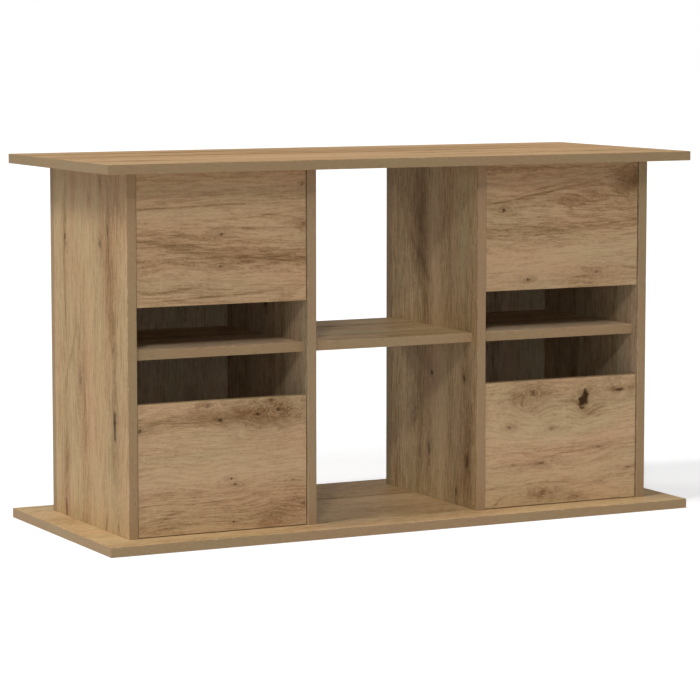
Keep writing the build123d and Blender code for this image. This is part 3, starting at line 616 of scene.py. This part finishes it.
# the top's tint is painted light: it lightens the board as if more light fell on it from above
oak("top_panel", X, Y, tone=-0.08, tint=(1.17, 1.08, 0.92), band=(0.93, 0.96, 0.97),
    shades=[(480, 230, 520, 13, 0.0, 0.44), (91, 85, 50, 10, 0.0, 0.50),
            (600, 141, 50, 9, 0.0, 0.44), (720, 312, 160, 14, 0.0, 0.32),
            (200, 334, 260, 11, 0.0, 0.36), (440, 274, 160, 9, 0.0, 0.30),
            (760, 90, 240, 12, 0.0, 0.22), (50, 14, 55, 12, 0.0, -0.40),
            (320, 125, 300, 22, 0.0, -0.16), (830, 200, 190, 20, 0.0, -0.10)],
    knots=[(690, 150, 7, 5, 0.57, 0.6, 2.8), (260, 330, 6, 4, 0.57, 0.6, 2.8),
           (880, 90, 6, 4, 0.44, 0.5, 2.8)])
# the base's tint is painted light: it lightens the board as if more light fell on it from above
oak("base_panel", X, Y, tint=(1.17, 1.20, 1.15), band=(1.03, 1.03, 1.06),
    shades=[(500, 270, 520, 8, 0.0, 0.26), (595, 80, 50, 10, 0.0, 0.22)],
    knots=[(385, 60, 4, 3, 0.7, 0.5, 2.6), (60, 260, 6, 4, 0.44, 0.5, 2.6),
           (960, 170, 6, 4, 0.44, 0.5, 2.6)])


# ---------------------------------------------------------------- floor, light and camera
def pale_floor():
    """A matt near-white floor with a trace of mottling, which glows for the camera only."""
    glow = 0.54
    material, tree, surface = new_material("pale_floor")
    where = tree.nodes.new("ShaderNodeTexCoord")
    clouds = noise(tree, where.outputs["Object"], (1.5, 1.5, 1.5), 2.0, 0.5)
    put(tree, ramp(tree, clouds, (0.3, (0.855, 0.855, 0.855)), (0.7, (0.865, 0.865, 0.865))),
        surface.inputs["Base Color"])
    surface.inputs["Roughness"].default_value = 0.9
    surface.inputs["Specular IOR Level"].default_value = 0.1
    surface.inputs["Emission Color"].default_value = (1.0, 1.0, 1.0, 1.0)
    seen = tree.nodes.new("ShaderNodeLightPath").outputs["Is Camera Ray"]
    put(tree, calc(tree, "MULTIPLY", seen, glow), surface.inputs["Emission Strength"])
    return material


def make_floor():
    """One wide plane just under the base."""
    half, gap = 30.0, 0.0004
    mesh = bpy.data.meshes.new("floor")
    mesh.from_pydata([(-half, -half, 0), (half, -half, 0), (half, half, 0), (-half, half, 0)],
                     [], [(0, 1, 2, 3)])
    floor = bpy.data.objects.new("floor", mesh)
    floor.location.z = cad_box[0].z - gap
    bpy.context.scene.collection.objects.link(floor)
    mesh.materials.append(pale_floor())


def direction(azimuth, elevation):
    """The way out from the object, in degrees: azimuth 0 is in front, positive to the right."""
    a, e = math.radians(azimuth), math.radians(elevation)
    return Vector((math.sin(a) * math.cos(e), -math.cos(a) * math.cos(e), math.sin(e)))


def soft_light(name, azimuth, elevation, strength, width=25):
    """A distant softbox, some degrees wide."""
    data = bpy.data.lights.new(name, "SUN")
    data.angle = math.radians(width)
    data.energy = strength
    light = bpy.data.objects.new(name, data)
    light.rotation_mode = "QUATERNION"
    light.rotation_quaternion = direction(azimuth, elevation).to_track_quat("Z", "Y")
    bpy.context.scene.collection.objects.link(light)


def make_world():
    """A pale studio: dim where it lights matt surfaces, white where the camera sees it."""
    matt, glossy, seen = 0.05, 0.35, 1.0
    world = bpy.data.worlds.new("studio")
    world.use_nodes = True
    tree = world.node_tree
    background = tree.nodes["Background"]
    background.inputs["Color"].default_value = (1.0, 1.0, 1.0, 1.0)
    path = tree.nodes.new("ShaderNodeLightPath")
    lit = remap(tree, path.outputs["Is Diffuse Ray"], 0.0, 1.0, glossy, matt, smooth=False)
    put(tree, remap(tree, path.outputs["Is Camera Ray"], 0.0, 1.0, lit, seen, smooth=False),
        background.inputs["Strength"])
    bpy.context.scene.world = world


def make_camera():
    """A long lens, in front and to the left, a little above the top."""
    back = direction(azimuth=-26.983, elevation=6.309)
    distance = 4.7794
    off_middle = Vector((-0.00535, -0.0005, -0.0262))
    low, high = cad_box
    aim = (low + high) / 2 + off_middle
    data = bpy.data.cameras.new("camera")
    data.sensor_width = 36
    data.lens = 153.42
    camera = bpy.data.objects.new("camera", data)
    camera.location = aim + back * distance
    camera.rotation_mode = "QUATERNION"
    camera.rotation_quaternion = (-back).to_track_quat("-Z", "Y")
    bpy.context.scene.collection.objects.link(camera)
    bpy.context.scene.camera = camera


make_floor()
soft_light("left_softbox", azimuth=-80, elevation=57, strength=1.52, width=12)
soft_light("front_softbox", azimuth=-5, elevation=50, strength=0.73)
soft_light("key_softbox", azimuth=-33, elevation=33, strength=0.57, width=6)
soft_light("rear_left_softbox", azimuth=-130, elevation=30, strength=0.66)
soft_light("low_front_softbox", azimuth=-12, elevation=9, strength=0.21)
soft_light("low_left_softbox", azimuth=-48, elevation=8, strength=0.14, width=30)
make_world()
make_camera()
bpy.context.scene.view_settings.view_transform = "Standard"
